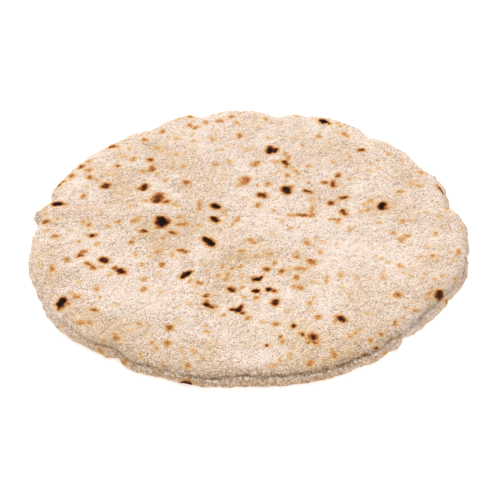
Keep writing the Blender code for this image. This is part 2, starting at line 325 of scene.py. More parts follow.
    (18.6, -71.6, 1.4, 1, 75, .88), (22.6, -77.2, 1.2, .6, -75, .9), (21.2, -76.5, .8, .7, 0, .46),
    (13.1, -78.6, .55, .4, -60, .85), (7.2, -84.2, .8, .7, 0, .86), (26.8, -79.2, 3.6, 2.4, -75, .56),
    (27, -78.8, 1.9, 1.1, -65, .93), (24.8, -80.1, .5, .5, 0, .8), (24.9, -82.2, .6, .6, 0, .8),
    (27.8, -82.9, 1.4, 1.2, 80, .52), (13.8, -81.7, 1.3, .8, 85, .43), (45.3, -76, 1.4, .9, 60, .4),
    (43.2, -78.3, 1.3, 1, 0, .36), (35.7, -89.8, 1.7, .9, -80, .46), (34.8, -87, 1.3, .6, -70, .3),
    (25.3, -94.5, 2.1, 1.4, 60, .46), (17, -90, 2, 1.2, -70, .3), (18.8, -85.5, 1.3, .8, 70, .25),
    (12.8, -92.5, 1.6, .8, -80, .3), (9, -96, 1.9, 1.4, 40, .3), (32, -92.5, 1.4, 1, 0, .25),
    (42, -88, 1.2, 1, 0, .24), (49, -90, 1.4, 1, 10, .5),
    # Front, far right.
    (87, -52, 1.3, 1, 70, .56), (71.5, -61, 1.7, 1.1, -50, .36), (67.5, -59.5, 1, .8, 0, .3),
    (62.6, -70, 2.4, 1, 80, .46), (66.4, -66.5, 1.1, .5, 90, .42), (56, -78, 1.5, 1, 65, .46),
    (51.4, -81, 1.6, .9, -75, .46), (53.9, -86, .9, .7, 0, .74), (61, -81, 1.4, .8, 90, .3),
    (58, -89.5, 1, .8, 0, .4), (51, -63, 1.2, 1, 0, .27),
)

# Where the crust has turned gold, and where it stayed floury: centre X and Y on the plan and spread in mm,
# and how strongly. Floury patches are negative. They also carry painted light and shade of the crust's
# broad relief: the floury patches are partly a painted highlight, and the gold ones are partly painted
# shade.
CLOUDS_AND_RELIEF_LIGHT = (
    (0, -19, 13, 0.9), (18, 38, 13, 0.7), (28, 25, 8, 0.6), (66, 17, 16, 0.7), (-69, 45, 11, 0.8),
    (-55, 25, 10, 0.5), (-22, 36, 14, 0.4), (-38, -4, 12, 0.4), (-25, 6, 8, 0.5), (-66, -68, 11, 0.8),
    (-55, -80, 11, 0.9), (-20, -86, 14, 0.5), (28, -87, 16, 0.7), (55, -70, 16, 0.5),
    (84, -22, 9, 0.7), (80, -47, 10, 0.5), (-42, 65, 12, 0.5), (42, 65, 12, 0.5), (26, -26, 9, 0.5),
    (5, 8, 11, -1.2), (22, -3, 11, -1.2), (44, -14, 12, -1.1), (64, -14, 11, -1.0),
    (-60, -48, 14, -0.8), (-44, -48, 14, -0.8), (-76, -24, 9, -0.7), (-4, -63, 12, -0.1),
    (23, -63, 14, 0.2), (32, -48, 10, -0.5), (-42, 19, 7, -1.0), (-85, -3, 8, -0.6),
)

SEED = 11  # every noise and every scatter draws from this seed plus a number of its own

# Scattered marks: how many, how far from the middle they reach and their half lengths in mm, and how
# far they are baked.
FRECKLES = (420, 99.0, (0.5, 1.7), (0.10, 0.24))
UNDER_MARKS = (90, 92.0, (1.2, 5.5), (0.2, 0.95))
UNDER_FRECKLES = (300, 94.0, (0.6, 2.0), (0.12, 0.4))

# The fade of a mark. The heat at its edge, as a share of its level, is BRIM less BRIM_DROP times the
# level. Beyond its edge it fades over MARK_REACH at most, and marks this narrow wobble in full.
BRIM = 0.78
BRIM_DROP = 0.31
MARK_REACH = 5.0
WOBBLE_WIDTH = 1.2

# The usual state of the crust between floury and gold, and how much a cloud of strength 1 adds.
BLUSH_LEVEL = 0.30
CLOUD_STRENGTH = 0.42

# The kneading of the surface: the size of the lumps, their height on the whole bread and what the lip
# adds to it, in mm, and the number that is added to the seed. The heights hold for a lump height of
# LUMP_HEIGHT and grow with it. RIM_GRAINS has a size, a height and a number.
LUMP_HEIGHT = 0.7
LUMPS = (
    (6.3, 0.24, 0.0, 11),
    (3.7, 0.27, 0.0, 12),
    (2.1, 0.23, 0.16, 13),
    (1.25, 0.10, 0.12, 14),
    (5.2, 0.0, 0.75, 15),
    (11.0, 0.0, 0.6, 17),
)
RIM_GRAINS = (1.8, 0.4, 16)

# Swells, folds, marks and clouds are laid out on a plan that is a little larger than the bread and
# slid against it: its width and depth as shares of the bread's, and its slides along X and Y in mm.
PLAN_WIDTH = 1.012
PLAN_DEPTH = 1.040
PLAN_SLIDE = 0.4
PLAN_SHIFT = 3.45

# The marks of the plan belong to the level just under the crest. Where the crust falls away from it,
# a mark is drawn this many mm further back for each mm of fall, so the rim carries the outer ones.
LEAN = 1.27
LEAN_START = 1.0
LEAN_MOST = 12.0

# The marks of dragging the dough: a turn that brings them to X, and how far they are drawn out there.
DRAG_TURN = math.radians(-48.0)
DRAG_SHAPE = (0.6, 1.0, 1.0)

# The studio: azimuth, elevation and spread of each light in degrees, and its strength.
KEY_LIGHT = (114.0, 46.0, 30.0, 3.5)
FILL_LIGHT = (-60.0, 50.0, 60.0, 1.1)
AIR_STRENGTH = 0.34
FLOOR_GLOW = 0.45
AIM = (0.0, -0.0137, -0.0003)  # where the camera looks, from the middle of the bread


def length_property(name, description, default, least=0.0):
    """A length in metres."""
    return bpy.props.FloatProperty(
        name=name,
        description=description,
        default=default,
        min=least,
        unit="LENGTH",
    )


class PitaSizes(bpy.types.PropertyGroup):
    """The sizes of the crust's detail."""

    lump_height: length_property(
        "Lump height", "Usual height of the crust's lumps, from hollow to crest", 0.0007
    )
    grain_height: length_property(
        "Grain height", "Height of the sandy grain of the baked flour", 0.0010
    )
    seam_depth: length_property(
        "Seam depth", "How far the seam between the two crusts is drawn in where it is open", 0.0010
    )
    mark_edge: length_property(
        "Mark edge", "How fast a scorch mark's halo fades into the crust", 0.0010
    )


def colour_property(name, description, default):
    """A colour in linear light."""
    return bpy.props.FloatVectorProperty(
        name=name,
        description=description,
        default=default,
        subtype="COLOR",
        size=3,
        min=0.0,
        max=1.0,
    )


class PitaColours(bpy.types.PropertyGroup):
    """The colours of the crust, from raw dough to char."""

    cream: colour_property("Cream", "The palest floury crust", (0.885, 0.740, 0.638))
    biscuit: colour_property("Biscuit", "Pink-brown, between the pale grains", (0.655, 0.475, 0.364))
    # This colour is partly the crust's own darker grains and partly painted shade: it goes in the hollows
    # of the grain and along the valleys of the folds.
    fleck_and_painted_shade: colour_property("Shade", "The hollows of the grain and the folds", (0.440, 0.290, 0.178))
    blush: colour_property("Blush", "Pale gold where the crust starts to colour", (0.770, 0.530, 0.285))
    # The seam's browned crust together with painted shade of the crease, strongest where the seam is open.
    seam_brown_and_shade: colour_property("Crease", "In the seam between the two crusts", (0.260, 0.140, 0.050))
    # Tan is partly the firmer crust of the rim and partly painted shade on the front of the rim.
    tan: colour_property("Tan", "The firmer crust of the rim", (0.520, 0.322, 0.162))
    gold: colour_property("Gold", "Lightly toasted crust", (0.695, 0.368, 0.130))
    amber: colour_property("Amber", "Toasted crust", (0.555, 0.212, 0.053))
    brown: colour_property("Brown", "Dark toast", (0.288, 0.080, 0.0175))
    umber: colour_property("Umber", "Nearly burnt crust", (0.128, 0.032, 0.0085))
    soot: colour_property("Soot", "The edge of the char", (0.034, 0.0090, 0.004))
    char: colour_property("Char", "Burnt crust", (0.008, 0.004, 0.003))


class PitaStudio(bpy.types.PropertyGroup):
    """The floor, the lights and the camera."""

    floor_width: length_property("Floor width", "Side of the square floor", 6.0, 1.0)
    camera_distance: length_property(
        "Camera distance", "From the camera to the point that it looks at", 0.80, 0.1
    )
    camera_elevation: bpy.props.FloatProperty(
        name="Camera elevation",
        description="Angle of the camera above the table",
        default=math.radians(38.2),
        subtype="ANGLE",
        unit="ROTATION",
    )
    camera_lens: bpy.props.FloatProperty(
        name="Lens",
        description="Focal length for a 36 mm sensor",
        default=128.0,
        unit="CAMERA",
    )


# Shapes.


def outline_radius(angle):
    """Radius of the lip in mm at each angle in radians: the outline's radii joined by straight
    lines round the circle, and then averaged with a bell so that the corners are soft."""
    steps = 1440  # four to a degree
    turn = np.arange(steps) * 360.0 / steps
    directions = np.array([row[0] for row in OUTLINE], float)
    radii = np.array([row[1] for row in OUTLINE], float)
    ring = np.interp(turn, directions, radii, period=360.0)
    away = np.minimum(turn, 360.0 - turn)
    bell = np.exp(-((away / OUTLINE_SOFTNESS) ** 2))
    soft = np.fft.irfft(np.fft.rfft(ring) * np.fft.rfft(bell / bell.sum()), steps)
    return np.interp(np.degrees(angle) % 360.0, turn, soft, period=360.0)


def lip_radius(angle):
    """Radius of the lower lip in mm: the outline's radius and the lip's own waves, each a bell."""
    radius = outline_radius(angle)
    for direction, half_width, height in LIP_WAVES:
        turn = (np.degrees(angle) - direction + 180.0) % 360.0 - 180.0
        radius = radius + height * np.exp(-((turn / half_width) ** 2))
    return radius


def noise(x, y, z, size, seed):
    """Smooth noise from -1 to 1: random values on a cubic lattice with cells of this size in mm,
    blended between the eight corners of a cell with the S-curve 3t^2 - 2t^3."""
    reach = 120.0  # the lattice spans 240 mm across and 24 mm up, from 4 mm below the table
    across = int(2 * reach / size) + 3
    tall = int(24.0 / size) + 3
    lattice = np.random.default_rng(seed).uniform(-1.0, 1.0, (across, across, tall))
    place = [(x + reach) / size, (y + reach) / size, (z + 4.0) / size]
    cell = [np.clip(np.floor(p).astype(int), 0, limit - 2) for p, limit in zip(place, lattice.shape)]
    part = [np.clip(p - c, 0.0, 1.0) for p, c in zip(place, cell)]
    part = [t * t * (3.0 - 2.0 * t) for t in part]
    total = np.zeros_like(x)
    for i in (0, 1):
        for j in (0, 1):
            for k in (0, 1):
                weight = np.ones_like(x)
                for t, corner in zip(part, (i, j, k)):
                    weight = weight * (t if corner else 1.0 - t)
                total += weight * lattice[cell[0] + i, cell[1] + j, cell[2] + k]
    return total


def smooth_step(value, start, end):
    """0 before start, 1 after end, and an S-curve between."""
    t = np.clip((value - start) / (end - start), 0.0, 1.0)
    return t * t * (3.0 - 2.0 * t)


def fold_line(x, y, path):
    """The distance in mm from the nearest run of a bent line, positive on its left, and the line's
    own height there."""
    nearest = np.full_like(x, 1e9)
    height = np.zeros_like(x)
    signed = np.ones_like(x)
    for (x0, y0, h0), (x1, y1, h1) in zip(path, path[1:]):
        run_x, run_y = x1 - x0, y1 - y0
        length = math.hypot(run_x, run_y)
        along = np.clip(((x - x0) * run_x + (y - y0) * run_y) / length**2, 0.0, 1.0)
        away = np.hypot(x - x0 - along * run_x, y - y0 - along * run_y)
        closer = away < nearest
        nearest = np.where(closer, away, nearest)
        height = np.where(closer, h0 + along * (h1 - h0), height)
        side = np.where(run_x * (y - y0) - run_y * (x - x0) >= 0.0, 1.0, -1.0)
        signed = np.where(closer, side * away, signed)
    return signed, height


def fold_height(x, y, path, left_reach, right_reach):
    """Height of a fold in mm. Its crest runs just to the right of a bent line and falls off as a
    bell, exp(-(d/reach)^2), with one reach on each side. A shallow valley, a bell of its own, runs
    along the line's left."""
    signed, height = fold_line(x, y, path)
    crest = signed + FOLD_CREST
    reach = np.where(crest > 0.0, left_reach, right_reach)
    valley = VALLEY_SHARE * np.exp(-(((signed - VALLEY_OFFSET) / VALLEY_WIDTH) ** 2))
    return FOLD_RISE * height * (np.exp(-((crest / reach) ** 2)) - valley)


def plan_x(x):
    """X on the plan of marks and folds for an X on the bread, both in mm."""
    return x * PLAN_WIDTH + PLAN_SLIDE


def plan_y(y):
    """Y on the plan of marks and folds for a Y on the bread, both in mm."""
    return (y + PLAN_SHIFT) * PLAN_DEPTH


def top_level(x, y):
    """Height in mm of the top crust before it rolls over: a level, its swells and dips, its folds,
    and broad lumps of two sizes. A soft ceiling, c - s log(1 + exp((c - level) / s)), holds the
    highest of them down."""
    x = plan_x(x)
    y = plan_y(y)
    level = (CREST - BASE_DROP) * np.ones_like(x)
    for centre_x, centre_y, spread, height in TOP_SWELLS + FOLD_DIPS:
        level += height * np.exp(-((x - centre_x) ** 2 + (y - centre_y) ** 2) / spread**2)
    for path, left_reach, right_reach in FOLDS:
        level += fold_height(x, y, path, left_reach, right_reach)
    zero = np.zeros_like(x)
    level += 0.30 * noise(x, y, zero, 21.0, SEED + 1)
    level += 0.26 * noise(x, y, zero, 11.0, SEED + 2)
    ceiling = CREST + CEILING_RISE
    return ceiling - CEILING_SOFTNESS * np.log1p(np.exp((ceiling - level) / CEILING_SOFTNESS))


def disc_grid(cells):
    """A square grid bent into a disc of radius 1: each square ring becomes a circle. Gives the share
    of the radius and the angle of each point, its faces, and its rim in turning order."""
    line = np.linspace(-1.0, 1.0, cells + 1)
    a, b = np.meshgrid(line, line)
    share = np.maximum(np.abs(a), np.abs(b))
    wide = np.abs(a) >= np.abs(b)
    longer = np.where(wide, a, b)
    tilt = math.pi / 4 * np.where(wide, b, -a) / np.where(longer == 0.0, 1.0, longer)
    start = np.where(wide, np.where(a < 0.0, 2.0, 0.0), np.where(b < 0.0, 3.0, 1.0))
    angle = start * math.pi / 2 + tilt
    number = np.arange((cells + 1) ** 2).reshape(cells + 1, cells + 1)
    faces = np.stack(
        [number[:-1, :-1], number[:-1, 1:], number[1:, 1:], number[1:, :-1]], axis=-1
    ).reshape(-1, 4)
    rim = np.concatenate(
        [number[:-1, -1], number[-1, :0:-1], number[:0:-1, 0], number[0, :-1]]
    )
    return share.ravel(), angle.ravel(), faces, rim


def seam_wander(angle):
    """How far the seam moves up or down in mm round the rim: waves of ten turning speeds."""
    random = np.random.default_rng(SEED + 5)
    speeds = np.array([3, 5, 8, 13, 21, 34, 55, 89, 144, 211])
    heights = 0.9 / speeds**0.45
    starts = random.uniform(0.0, 2.0 * math.pi, len(speeds))
    return (heights[:, None] * np.sin(np.outer(speeds, angle) + starts[:, None])).sum(axis=0)


def seam_openness(angle):
    """How open the seam is, from 0 to about 1: widest along the front and to its right, nearly shut
    round the left and the back, and broken up by crumbs of two sizes."""
    turn = (np.degrees(angle) - 285.0 + 180.0) % 360.0 - 180.0
    front = np.exp(-((turn / 55.0) ** 4)) * (0.3 + 0.7 * smooth_step(turn, -46.0, -30.0))
    gaps = 0.5 + 0.5 * np.exp(-(((np.degrees(angle) % 360.0 - 273.0) / 9.0) ** 2))
    x = 98.0 * np.cos(angle)
    y = 98.0 * np.sin(angle)
    crumb = noise(x, y, 0 * x, 6.0, SEED + 6) + 0.8 * noise(x, y, 0 * x, 2.4, SEED + 7)
    breaks = 0.3 + 0.7 * smooth_step(crumb, -0.7, 0.3)
    uneven = np.clip(1.0 + 0.9 * seam_wander(angle + 0.7), 0.0, 2.0)
    return (0.2 + 0.8 * front) * gaps * breaks * uneven


def upper_crust(inset, radius, angle, level, seam):
    """Height in mm of the upper crust this far in from the outline: from the seam it rises steeply
    and then bends over to its level, as sqrt(1 - share^power). The front has the rounder shoulder."""
    share = np.clip(1.0 - (inset - SEAM_INSET) / radius, 0.0, 1.0)
    front = smooth_step(-np.sin(angle), 0.4, 0.98)
    power = BACK_SHOULDER + (FRONT_SHOULDER - BACK_SHOULDER) * front
    return seam + (level - seam) * np.sqrt(1.0 - share**power)


def bread_points(depth):
    """Points in mm and faces of the closed bread: the top crust on a disc grid, the rim as rings
    carried round the outline, and the underside on a coarser disc grid. depth is how far the seam
    is drawn in, in mm. Two faces of each ring cell join the last ring to the coarser grid."""
    share, angle, top_faces, top_rim = disc_grid(TOP_CELLS)
    radius = outline_radius(angle)
    inset = radius - share * (radius - RIM_START)
    x = (radius - inset) * np.cos(angle)
    y = (radius - inset) * np.sin(angle)
    seam = SEAM_HEIGHT + seam_wander(angle)
    points = [np.stack([x, y, upper_crust(inset, radius, angle, top_level(x, y), seam)], axis=1)]

    ring_angle = angle[top_rim]
    ring_radius = outline_radius(ring_angle)
    ring_seam = SEAM_HEIGHT + seam_wander(ring_angle)
    count = len(top_rim)
    for row in CRUST_ROWS:
        x = (ring_radius - row) * np.cos(ring_angle)
        y = (ring_radius - row) * np.sin(ring_angle)
        z = upper_crust(row, ring_radius, ring_angle, top_level(x, y), ring_seam)
        points.append(np.stack([x, y, z], axis=1))
    lip = lip_radius(ring_angle)
    ring_depth = depth / SEAM_ROWS_DEPTH * seam_openness(ring_angle)
    for row, height in LIP_ROWS:
        low = smooth_step(np.array(SEAM_HEIGHT - height), -0.1, 0.6)
        out = ring_radius + (lip - ring_radius) * low
        in_seam = (row > SEAM_INSET) * (height > SEAM_FLOOR)
        drawn = row + (ring_depth - 1.0) * (row - SEAM_INSET) * in_seam
        moved = smooth_step(np.array(height), 0.5, 4.2)
        x = (out - drawn) * np.cos(ring_angle)
        y = (out - drawn) * np.sin(ring_angle)
        z = height + moved * (ring_seam - SEAM_HEIGHT)
        points.append(np.stack([x, y, z], axis=1))

    share, angle, under_faces, under_rim = disc_grid(UNDER_CELLS)
    radius = outline_radius(angle)
    x = share * (radius - UNDER_INSET) * np.cos(angle)
    y = share * (radius - UNDER_INSET) * np.sin(angle)
    points.append(np.stack([x, y, np.zeros_like(x)], axis=1))

    rows = len(CRUST_ROWS) + len(LIP_ROWS)
    first = (TOP_CELLS + 1) ** 2
    rings = np.vstack([top_rim, first + np.arange(rows * count).reshape(rows, count)])
    turned = np.roll(rings, -1, axis=1)
    rim_faces = np.stack([rings[:-1], rings[1:], turned[1:], turned[:-1]], axis=-1).reshape(-1, 4)

    under = first + rows * count
    under_faces = under_faces[:, ::-1] + under
    inner = under + under_rim
    inner_next = np.roll(inner, -1)
    outer, middle, outer_next = rings[-1, 0::2], rings[-1, 1::2], turned[-1, 1::2]
    joint_faces = np.concatenate(
        [
            np.stack([outer, inner, middle], axis=1),
            np.stack([middle, inner, inner_next], axis=1),
            np.stack([middle, inner_next, outer_next], axis=1),
        ]
    )
    quads = np.concatenate([top_faces, rim_faces, under_faces])
    return np.concatenate(points), quads, joint_faces


def point_normals(points, quads, triangles):
    """Outward direction at each point: the crossed diagonals of its faces, added up."""
    normals = np.zeros_like(points)
    diagonal_a = points[quads[:, 2]] - points[quads[:, 0]]
    diagonal_b = points[quads[:, 3]] - points[quads[:, 1]]
    face = np.cross(diagonal_a, diagonal_b)
    flat = np.cross(
        points[triangles[:, 1]] - points[triangles[:, 0]],
        points[triangles[:, 2]] - points[triangles[:, 0]],
    )
    for corners, direction in ((quads, face), (triangles, flat)):
        for corner in corners.T:
            for axis in range(3):
                normals[:, axis] += np.bincount(corner, direction[:, axis], len(points))
    return normals / np.maximum(np.linalg.norm(normals, axis=1), 1e-12)[:, None]


def knead(points, normals, lump):
    """Moves each point along its normal by lumps of four sizes in mm. Two larger lumps are added on
    the lip, and small grains that only stand out are added round the rim. The underside stays flat."""
    x, y, z = points.T
    underside = smooth_step(z, 0.25, 1.6)
    lip = (1.0 - smooth_step(z, 4.4, 6.0)) * smooth_step(np.hypot(x, y), 86.0, 92.0)
    push = np.zeros_like(x)
    for size, height, on_lip, number in LUMPS:
        push += (height + on_lip * lip) * noise(x, y, z, size, SEED + number)
    ring = smooth_step(np.hypot(x, y), 88.0, 94.0)
    size, height, number = RIM_GRAINS
    push += height * ring * np.clip(noise(x, y, z, size, SEED + number), 0.0, 1.0)
    push *= lump / LUMP_HEIGHT * underside
    return points + normals * push[:, None]


def fit_to_frame(points):
    """Stretches the points by a hair along each axis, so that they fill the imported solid's box."""
    low = np.array(BREAD_LOW) / MM
    high = np.array(BREAD_HIGH) / MM
    least = points.min(axis=0)
    most = points.max(axis=0)
    return low + (points - least) / (most - least) * (high - low)


# Where the crust is baked.


def bake_marks(x, y, marks, edge, wobble):
    """How far each point is baked, from 0 to 1. Inside a mark's ellipse the heat falls from its level
    at the middle, as a cube, to the brim at the edge. Outside it falls off as exp(-distance/edge).
    A wobble moves the edge, and where marks meet the hottest counts."""
    heat = np.zeros_like(x)
    for centre_x, centre_y, long, wide, tilt, level in marks:
        reach = long + MARK_REACH
        near = np.flatnonzero((np.abs(x - centre_x) < reach) & (np.abs(y - centre_y) < reach))
        away_x = x[near] - centre_x
        away_y = y[near] - centre_y
        turn = math.radians(tilt)
        along = (away_x * math.cos(turn) + away_y * math.sin(turn)) / long
        across = (away_y * math.cos(turn) - away_x * math.sin(turn)) / wide
        share = np.hypot(along, across)
        steepness = np.hypot(along / long, across / wide) / np.maximum(share, 1e-6)
        distance = (share - 1.0) / np.maximum(steepness, 1.0 / long)
        distance = distance + wobble[near] * min(1.0, wide / WOBBLE_WIDTH)
        inside = np.clip(1.0 + distance / wide, 0.0, 1.0)
        brim = BRIM - BRIM_DROP * level
        within = 1.0 - (1.0 - brim) * inside**3
        beyond = brim * np.exp(-distance / edge)
        fade = np.where(distance < 0.0, within, beyond)
        heat[near] = np.maximum(heat[near], level * fade)
    return heat


def freckles(seed, count, reach, sizes, levels):
    """Scattered marks: places spread evenly over a disc, with sizes and heats from these ranges."""
    random = np.random.default_rng(seed)
    turn = random.uniform(0.0, 2.0 * math.pi, count)
    away = reach * np.sqrt(random.uniform(0.0, 1.0, count))
    long = random.uniform(*sizes, count)
    wide = long * random.uniform(0.5, 0.95, count)
    tilt = random.uniform(0.0, 180.0, count)
    level = random.uniform(0.0, 1.0, count) ** 2 * (levels[1] - levels[0]) + levels[0]
    return np.stack([away * np.cos(turn), away * np.sin(turn), long, wide, tilt, level], axis=1)


def baked_heat(points, edge):
    """How far every point is baked. Where the crust falls away from its level, the marks are read
    further to the front on the plan, as LEAN says: a little less so at the very front, and not at
    all on the lower part of the back. The underside has its own marks."""
    x, y, z = points.T
    front = smooth_step(-y, 5.0, 70.0)
    leaning = np.maximum(front, smooth_step(z, 5.5, 8.0))
    fall = np.clip(CREST - LEAN_START - z, 0.0, LEAN_MOST)
    slid = plan_y(y - LEAN * fall * leaning)
    slid += 2.2 * smooth_step(-slid, 80.0, 98.0)
    x = plan_x(x)
    wobble = 0.55 * noise(x, slid, 0 * x, 2.2, SEED + 21)
    wobble = wobble + 0.35 * noise(x, slid, 0 * x, 1.1, SEED + 22)
    upper = bake_marks(x, slid, MARKS, edge, wobble)
    faint = bake_marks(x, slid, freckles(SEED + 23, *FRECKLES), edge, wobble)
    upper = np.maximum(upper, faint)
    under = bake_marks(x, y, freckles(SEED + 24, *UNDER_MARKS), edge, wobble)
    faint = bake_marks(x, y, freckles(SEED + 25, *UNDER_FRECKLES), edge, wobble)
    under = np.maximum(under, faint)
    return np.where(z > 1.0, upper, under)


def blush_and_relief_light(points):
    """Where the crust has begun to turn gold, from 0 where it is still floury to 1: its usual level, the
    clouds of the table, each a bell, and a wandering of three sizes. The clouds are partly painted light
    and shade of the broad relief."""
    x, y, z = points.T
    cloud = BLUSH_LEVEL + 0.16 * noise(x, y, z, 15.0, SEED + 31) + 0.20 * noise(x, y, z, 6.5, SEED + 32)
    cloud += 0.12 * noise(x, y, z, 3.1, SEED + 33)
    plan = plan_x(x), plan_y(y)
    for centre_x, centre_y, spread, strength in CLOUDS_AND_RELIEF_LIGHT:
        away = (plan[0] - centre_x) ** 2 + (plan[1] - centre_y) ** 2
        cloud += CLOUD_STRENGTH * strength * np.exp(-away / spread**2)
    return np.clip(cloud, 0.0, 1.0)


def painted_fold_shade(points):
    """Up to 1 along the valleys of the folds, where their painted shade goes, each a narrow bell as strong
    as its fold is high, and broken up by noise. 0 elsewhere and on the underside."""
    x, y, z = points.T
    mask = np.zeros_like(x)
    for path, _, _ in FOLDS:
        signed, height = fold_line(plan_x(x), plan_y(y), path)
        away = (signed - FOLD_SHADE_OFFSET) / FOLD_SHADE_WIDTH
        mask = np.maximum(mask, height * np.exp(-(away**2)))
    breaks = 0.35 + 0.65 * smooth_step(noise(x, y, z, 3.0, SEED + 34), -0.5, 0.4)
    return np.clip(mask, 0.0, 1.0) * breaks * smooth_step(z, 5.0, 8.0)


def rim_tan_and_shade_mask(points):
    """Where the rim's tan goes: 0 on the open crust, rising over the shoulder towards the seam and the lip,
    to 1 along the front and to 0.28 round the sides and the back. The tan is partly the firmer crust of the
    rim and partly painted shade on the front of the rim, which faces away from the key light."""
    x, y, z = points.T
    inset = outline_radius(np.arctan2(y, x)) - np.hypot(x, y)
    front = 0.1 + 0.9 * smooth_step(-y, 64.0, 94.0)
    return 0.8 * front * smooth_step(-inset, -9.0, -1.5) + 0.2 * smooth_step(-z, -6.0, -4.8)


def seam_mask(points, above, width):
    """Up to 1 along a line this far in mm above the seam, fading out over this width, and only as
    strong as the seam is open."""
    x, y, z = points.T
    angle = np.arctan2(y, x)
    inset = outline_radius(angle) - np.hypot(x, y)
    height = z - SEAM_HEIGHT - seam_wander(angle) - above
    near = np.exp(-((height / width) ** 2)) * smooth_step(inset, -1.0, 1.0) * (inset < 4.0)
    return near * np.clip(2.3 * seam_openness(angle), 0.0, 1.0)


# Materials.


class Tree:
    """Adds nodes to a material's node tree and links them, by the names of their sockets."""

    def __init__(self, material):
        material.use_nodes = True
        self.tree = material.node_tree
        self.tree.nodes.clear()

    def add(self, kind, settings=None, **sockets):
        """A node of this kind. Each socket is given a plain value or another node's output."""
        node = self.tree.nodes.new(kind)
        for name, value in (settings or {}).items():
            setattr(node, name, value)
        for name, value in sockets.items():
            key = int(name[1:]) if name[0] == "_" and name[1:].isdigit() else name.replace("_", " ")
            self.put(node.inputs[key], value)
        return node

    def put(self, socket, value):
        """Gives a socket a plain value, or links another node's output to it."""
        if isinstance(value, bpy.types.NodeSocket):
            self.tree.links.new(value, socket)
        else:
            socket.default_value = value

    def math(self, operation, a, b=0.0, c=0.0):
        """The result of this operation on two or three numbers."""
        return self.add("ShaderNodeMath", {"operation": operation}, _0=a, _1=b, _2=c).outputs[0]

    def mix(self, factor, a, b):
        """From colour a to colour b, by the factor."""
        node = self.tree.nodes.new("ShaderNodeMix")
        node.data_type = "RGBA"
        self.put(node.inputs[0], factor)
        self.put(node.inputs[6], a)
        self.put(node.inputs[7], b)
        return node.outputs[2]

    def step(self, value, start, end, low=0.0, high=1.0):
        """An S-curve from low at start to high at end."""
        node = self.add(
            "ShaderNodeMapRange",
            {"interpolation_type": "SMOOTHSTEP"},
            Value=value,
            From_Min=start,
            From_Max=end,
            To_Min=low,
            To_Max=high,
        )
        return node.outputs["Result"]

    def noise(self, place, size, detail=2.0, roughness=0.5):
        """Noise from 0 to 1, whose features are about this many mm across."""
        node = self.add(
            "ShaderNodeTexNoise",
            Vector=place,
            Scale=1000.0 / size,
            Detail=detail,
            Roughness=roughness,
        )
        return node.outputs[0]

    def attribute(self, name):
        """The number that the mesh carries at each point under this name."""
        return self.add("ShaderNodeAttribute", {"attribute_name": name}).outputs["Fac"]


def opaque(colour):
    """The colour with full cover."""
    return (*colour, 1.0)


